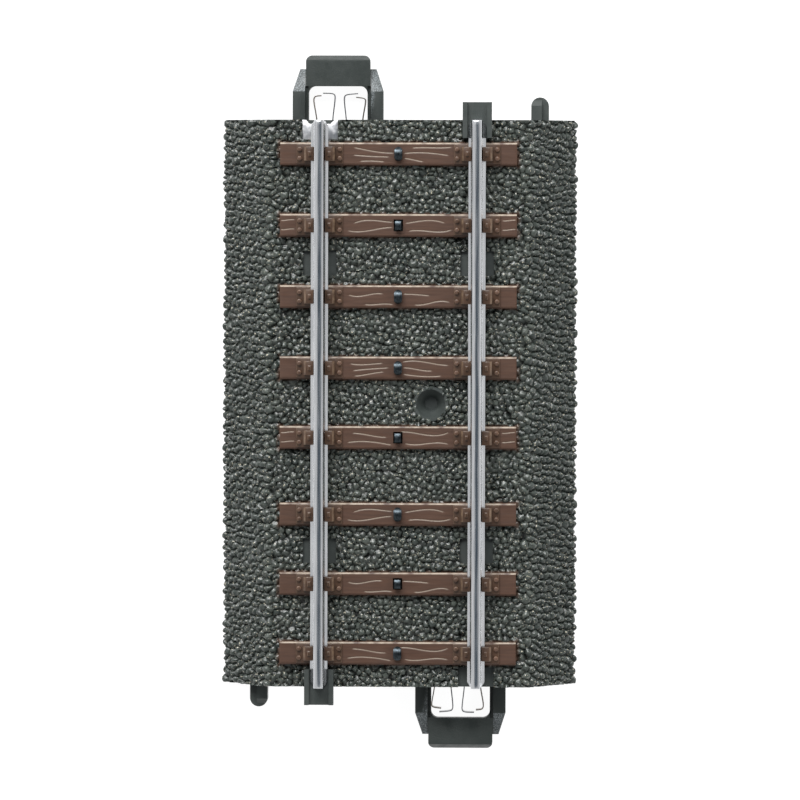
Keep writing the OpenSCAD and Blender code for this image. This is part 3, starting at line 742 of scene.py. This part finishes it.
def build_sleepers():
    """Sleepers with bevelled edges, cut grain and a hole where a stud is set into them."""
    half_l, half_w = SLEEPER_HALF_L, SLEEPER_HALF_W
    hole_x, hole_y = STUD_HOLE_HALF
    x_keys = (-half_l + EDGE_ROUND, -hole_x, hole_x, half_l - EDGE_ROUND)
    y_keys = (-half_w + BEVEL, -hole_y, hole_y, half_w - BEVEL)
    xs = grid_lines(-half_l, half_l, SLEEPER_GRID[0], x_keys)
    ys = grid_lines(-half_w, half_w, SLEEPER_GRID[1], y_keys)
    for index, (name, y_mid) in enumerate(zip(SLEEPERS, SLEEPER_Y)):
        left, right = GRAIN[PATTERNS[index]]
        depth = np.maximum(
            grain_depth(xs, ys, left, -1, half_w), grain_depth(xs, ys, right, 1, half_w)
        )
        if index in END_MARKED:
            depth = np.maximum(depth, end_marks(xs, ys, half_l))
        depth[:, np.abs(ys) > half_w - BEVEL] = 0
        # Pale grain lines, partly wear and partly painted highlight, and a painted highlight along the north
        # edge
        wear_and_highlight = LINE_WEAR_AND_HIGHLIGHT * np.clip(depth / LINE_DEPTH * 1.4 - 0.35, 0, 1)
        wear_and_highlight = np.maximum(wear_and_highlight, north_edge_highlight(xs, ys, half_w, index))
        side_drop = edge_drop(half_w - np.abs(ys))[None, :]
        end_drop = edge_drop(half_l - np.abs(xs) + BEVEL / 2)[:, None]
        x, y = np.meshgrid(xs, ys, indexing="ij")
        top = np.stack([x, y + y_mid, SLEEPER_TOP - np.maximum(side_drop, end_drop) - depth], -1)
        bottom = np.stack([x, y + y_mid, np.full_like(x, SLEEPER_BASE)], -1)
        keep = np.ones((len(xs) - 1, len(ys) - 1), bool)
        if name in STUD_HOLED:
            mid_x = (xs[:-1, None] + xs[1:, None]) / 2
            mid_y = (ys[None, :-1] + ys[None, 1:]) / 2
            keep &= ~((np.abs(mid_x) < hole_x) & (np.abs(mid_y) < hole_y))
        mesh = grid_solid(name, top, bottom, keep, {"wear_and_highlight": wear_and_highlight})
        piece = new_object(f"{name}_grained", mesh, MATERIALS["sleeper"])
        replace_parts(piece, name)


build_sleepers()


# ---- CAD pieces with softened edges ----

BEVEL_FROM = 25  # Degrees between faces from which an edge is rounded


def softened(node, width_mm, material, body=BODY):
    """A copy of a CAD node with rounded edges, which stands for it."""
    bm = bmesh.new()
    bm.from_mesh(frame["nodes"][node].data)
    bmesh.ops.remove_doubles(bm, verts=bm.verts, dist=0.0005 * MM)
    bmesh.ops.dissolve_limit(bm, angle_limit=math.radians(1), verts=bm.verts, edges=bm.edges)
    sharp = [e for e in bm.edges if len(e.link_faces) == 2 and e.calc_face_angle() > math.radians(BEVEL_FROM)]
    bmesh.ops.bevel(
        bm, geom=sharp, offset=width_mm * MM, offset_type="OFFSET", segments=2,
        profile=0.5, affect="EDGES", clamp_overlap=True,
    )
    mesh = bpy.data.meshes.new(node)
    bm.to_mesh(mesh)
    bm.free()
    mesh.polygons.foreach_set("use_smooth", np.ones(len(mesh.polygons), bool))
    mesh.set_sharp_from_angle(angle=math.radians(40))
    piece = new_object(f"{node}_soft", mesh, material, body)
    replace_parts(piece, node)


def dress(node, material):
    """Gives a CAD node that stays as it is a finished material."""
    obj = frame["nodes"][node]
    obj.data.materials.clear()
    obj.data.materials.append(material)


RAIL_FOOT = (rail_high[0] - rail_low[0]) / 2
RAIL_H = rail_high[2] - rail_low[2]
WEB_HALF = 0.24
SHOULDER = 0.2
CROWN = 0.09
FOOT_CUT_L, FOOT_CUT_W = 0.62, 0.42
NOSE = 0.1  # Length of the rounding at the rail's ends
FOOT_BELOW, HEAD_ABOVE = 0.5, 1.2


def rail_profile():
    """Right half of the rail's cross-section from the foot up: foot, fillet, web and crowned head, in mm."""
    foot, head, height = RAIL_FOOT, HEAD_HALF_W, RAIL_H
    points = [(foot - 0.03, 0), (foot, 0.03), (foot, 0.17), (foot - 0.05, 0.22)]
    points += [(0.68, 0.30), (0.61, 0.40), (0.46, 0.60), (0.30, 0.76)]
    points += [(WEB_HALF, 0.95), (WEB_HALF, height - 0.85)]
    points += [(0.3, height - 0.72), (head - 0.06, height - 0.6), (head, height - 0.5)]
    points.append((head, height - SHOULDER - CROWN))
    for angle in np.linspace(0, math.radians(70), 5)[1:]:
        drop = CROWN + SHOULDER * (1 - math.sin(angle))
        points.append((head - SHOULDER * (1 - math.cos(angle)), height - drop))
    edge_x, edge_z = points[-1]
    for share in np.linspace(0, 1, 6)[1:-1]:
        points.append((edge_x * (1 - share), height - (height - edge_z) * (1 - share) ** 2))
    return np.array(points)


def build_rail(name, x):
    """Rail as a run of cross-sections, its foot's corners cut back and its head rounded at the ends."""
    half = rail_profile()
    ring = np.concatenate([half, [(0, RAIL_H)], half[::-1] * (-1, 1), [(0, 0)]])
    # Place along the track, how far the foot is cut back there, and how far the head is down
    stations = [
        (END_Y, FOOT_CUT_W, NOSE),
        (END_Y - NOSE * 0.7, FOOT_CUT_W, NOSE * 0.3),
        (END_Y - NOSE * 1.6, FOOT_CUT_W * 0.72, 0),
        (END_Y - FOOT_CUT_L, 0, 0),
    ]
    rings = []
    for y, cut, drop in [(-y, c, n) for y, c, n in stations] + stations[::-1]:
        section = ring.copy()
        low = section[:, 1] < FOOT_BELOW
        section[low, 0] = np.clip(section[low, 0], -RAIL_FOOT + cut, RAIL_FOOT - cut)
        high = section[:, 1] > HEAD_ABOVE
        section[high, 1] -= drop * (section[high, 1] - HEAD_ABOVE)
        rings.append([(x + px, y, rail_low[2] + pz) for px, pz in section])
    piece = new_object(f"{name}_rolled", tube(name, rings, 32), MATERIALS["rail"])
    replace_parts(piece, name)


# Bent shapes of the contact spring leaves past the bed's end: the side of the fork that each is on at the
# north end, then its points in mm, outwards from the fork's centre line and beyond the bed's end.
LEAVES = {
    ("rail", "short"): (-1, [(0.87, 0), (1.3, 2.2), (1.2, 2.62), (0.95, 2.74), (0.41, 2.78)]),
    ("rail", "long"): (1, [(0.87, 0), (1.17, 2.35), (1.15, 2.92), (0.72, 3.05), (-0.21, 3.06)]),
    ("centre", "long"): (-1, [(0.95, 0), (1.2, 2.1), (1.18, 2.76), (0.82, 2.93), (-0.35, 3.02)]),
    ("centre", "short"): (1, [(0.85, 0), (1.24, 2.1), (1.18, 2.4), (0.9, 2.52), (0.15, 2.6)]),
}
LEAF_T, LEAF_H, LEAF_ROLL = 0.12, 1.3, 0.13
LEAF_ROOT = 0.8  # The root's distance outwards from the fork's centre line
LEAF_CHAMFER = 0.03


def rounded_path(points, passes=3):
    """Points with their corners cut again and again, which leaves a smooth bend."""
    points = np.array(points, float)
    for _ in range(passes):
        a, b = points[:-1], points[1:]
        cut = np.stack([0.75 * a + 0.25 * b, 0.25 * a + 0.75 * b], 1).reshape(-1, 2)
        points = np.concatenate([points[:1], cut, points[-1:]])
    return points


def build_leaf(end, kind, length, material):
    """A contact spring leaf: a strip on edge, rolled at its root and hooked at its tip."""
    node = f"spring_{kind}_{end}_{length}"
    joint = next(j for j in frame["record"]["behaviour"]["joints"] if j["child"] == node)
    root = np.array(joint["pos_m"]) / MM
    turn = 1 if end == "north" else -1
    side, shape = LEAVES[kind, length]
    reach = END_Y - abs(root[1])
    bend = rounded_path([(LEAF_ROOT, 0.0)] + [(u, reach + v) for u, v in shape])
    angles = np.linspace(-1.5 * math.pi, 0, 12, endpoint=False)
    roll = np.stack([LEAF_ROOT - LEAF_ROLL + LEAF_ROLL * np.cos(angles), LEAF_ROLL * np.sin(angles)], -1)
    path = np.concatenate([roll, bend])
    place = np.stack([root[0] + turn * side * (path[:, 0] - LEAF_ROOT), root[1] + turn * path[:, 1]], -1)
    ahead = np.gradient(place, axis=0)
    ahead /= np.linalg.norm(ahead, axis=1)[:, None]
    across = np.stack([-ahead[:, 1], ahead[:, 0]], -1)
    t, h, c = LEAF_T / 2, LEAF_H / 2, LEAF_CHAMFER
    section = [(t, c - h), (t, h - c), (t - c, h), (c - t, h)]
    section += [(-a, -b) for a, b in section]
    rings = [[(*(p + a * o), root[2] + z) for o, z in section] for p, a in zip(place, across)]
    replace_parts(new_object(f"{node}_bent", tube(f"{node}_bent", rings, 40), material, node), node)


build_rail("rail_left", -RAIL_X)
build_rail("rail_right", RAIL_X)
for side in ("left", "right"):
    softened(f"rail_clips_{side}", 0.06, MATERIALS["chair"])
    softened(f"baseplates_{side}", 0.05, MATERIALS["chair"])
    softened(f"chair_bolts_{side}", 0.06, MATERIALS["bolt"])

dress("roadbed_shell", MATERIALS["shell"])
softened("centre_conductor", 0.05, MATERIALS["stud"])
softened("rail_contact_plate", 0.04, MATERIALS["tin"])
for end in ("north", "south"):
    softened(f"latch_loop_{end}", 0.24, MATERIALS["loop"], f"latch_loop_{end}")
    softened(f"rail_conductor_{end}", 0.03, MATERIALS["contact"])
    for kind in ("rail", "centre"):
        softened(f"contact_socket_{kind}_{end}", 0.03, MATERIALS["contact"])
        build_leaf(end, kind, "short", MATERIALS["bronze"])
        build_leaf(end, kind, "long", MATERIALS["spring"])


# ---- Floor, lights and camera ----

# Places and sizes in metres
FLOOR_HALF = 2.0
FLOOR_DROP = 0.00001
FLOOR_GLOW = 0.94
GLOW_INSET = 1.5  # How far inside the bed's outline, in mm, the floor under it stays dark
WORLD_STRENGTH = 0.62
CEILING = (0.14, 0.0, 1.0)  # Towards the middle of the darker ceiling
CAMERA_PLACE = (0.02125, 0.02538, 0.708)
CAMERA_TARGET = (0.00025, 0.00048, 0.008)
CAMERA_ROLL = 0.13  # Degrees
CAMERA_LENS = 278.9  # Millimetres, on a sensor 36 mm wide


def build_floor():
    """White floor that glows, so that it stays white in the object's shadow, but is dark beneath the bed."""
    mesh = bpy.data.meshes.new("studio_floor")
    half = FLOOR_HALF
    corners = [(-half, -half, 0), (half, -half, 0), (half, half, 0), (-half, half, 0)]
    mesh.from_pydata(corners, [], [(0, 1, 2, 3)])
    floor = bpy.data.objects.new("studio_floor", mesh)
    bpy.context.scene.collection.objects.link(floor)
    floor.location.z = -FLOOR_DROP
    s = Shader("studio_white")
    s.colour(s.ramp(s.noise(400), [(0.3, (0.20, 0.20, 0.20)), (0.7, (0.22, 0.22, 0.22))]))
    s.bsdf.inputs["Roughness"].default_value = 0.9
    s.bsdf.inputs["Specular IOR Level"].default_value = 0.0
    s.bsdf.inputs["Emission Color"].default_value = (1, 1, 1, 1)
    place = s.node("ShaderNodeSeparateXYZ", Vector=s.coords)
    across = s.math("LESS_THAN", s.distance(place.outputs["X"]), (BASE_HALF - GLOW_INSET) * MM)
    along = s.math("LESS_THAN", s.distance(place.outputs["Y"]), (END_Y - GLOW_INSET) * MM)
    glow = s.span(s.math("MULTIPLY", across, along), FLOOR_GLOW, 0.0, 0.0, 1.0)
    s.tree.links.new(glow, s.bsdf.inputs["Emission Strength"])
    mesh.materials.append(s.material)


def aim(obj, target, roll=0.0):
    """Turns an object's -Z at the target, with its +Y as near to the world's +Y as it goes."""
    back = (obj.location - Vector(target)).normalized()
    right = Vector((0, 1, 0)).cross(back).normalized()
    up = back.cross(right)
    turn = Matrix((right, up, back)).transposed()
    obj.rotation_euler = (turn @ Matrix.Rotation(roll, 3, "Z")).to_euler()


def add_light(name, place, size, power, glossy=True):
    """A rectangular light aimed at the origin; one that isn't glossy leaves no reflection of itself."""
    data = bpy.data.lights.new(name, "AREA")
    data.shape = "RECTANGLE"
    data.size, data.size_y = size
    data.energy = power
    light = bpy.data.objects.new(name, data)
    bpy.context.scene.collection.objects.link(light)
    light.location = place
    light.visible_camera = False
    light.visible_glossy = glossy
    aim(light, (0, 0, 0))


def build_world():
    """White studio all round, with a darker blue-grey ceiling a little to the east of overhead."""
    world = bpy.data.worlds.new("studio")
    bpy.context.scene.world = world
    world.use_nodes = True
    tree = world.node_tree
    background = tree.nodes["Background"]
    coords = tree.nodes.new("ShaderNodeTexCoord")
    toward = tree.nodes.new("ShaderNodeVectorMath")
    toward.operation = "DOT_PRODUCT"
    toward.inputs[1].default_value = Vector(CEILING).normalized()
    ramp = tree.nodes.new("ShaderNodeValToRGB")
    tree.links.new(coords.outputs["Generated"], toward.inputs[0])
    tree.links.new(toward.outputs["Value"], ramp.inputs[0])
    tree.links.new(ramp.outputs[0], background.inputs["Color"])
    stops = ramp.color_ramp.elements
    stops[0].position, stops[0].color = 0.80, (1, 1, 1, 1)
    stops[1].position, stops[1].color = 0.965, (0.10, 0.13, 0.16, 1)
    background.inputs["Strength"].default_value = WORLD_STRENGTH


def build_camera():
    """A long lens almost straight above, as in the photo."""
    data = bpy.data.cameras.new("camera")
    data.lens = CAMERA_LENS
    data.sensor_width = 36
    data.clip_start, data.clip_end = 0.01, 10
    camera = bpy.data.objects.new("camera", data)
    bpy.context.scene.collection.objects.link(camera)
    camera.location = CAMERA_PLACE
    aim(camera, CAMERA_TARGET, math.radians(CAMERA_ROLL))
    bpy.context.scene.camera = camera


build_floor()
build_world()
add_light("key_north", (-0.12, 0.58, 0.5), (0.6, 0.4), 9.5)
add_light("fill_east", (0.6, -0.1, 0.5), (0.3, 0.5), 1.5, glossy=False)
build_camera()
bpy.context.scene.view_settings.view_transform = "Standard"
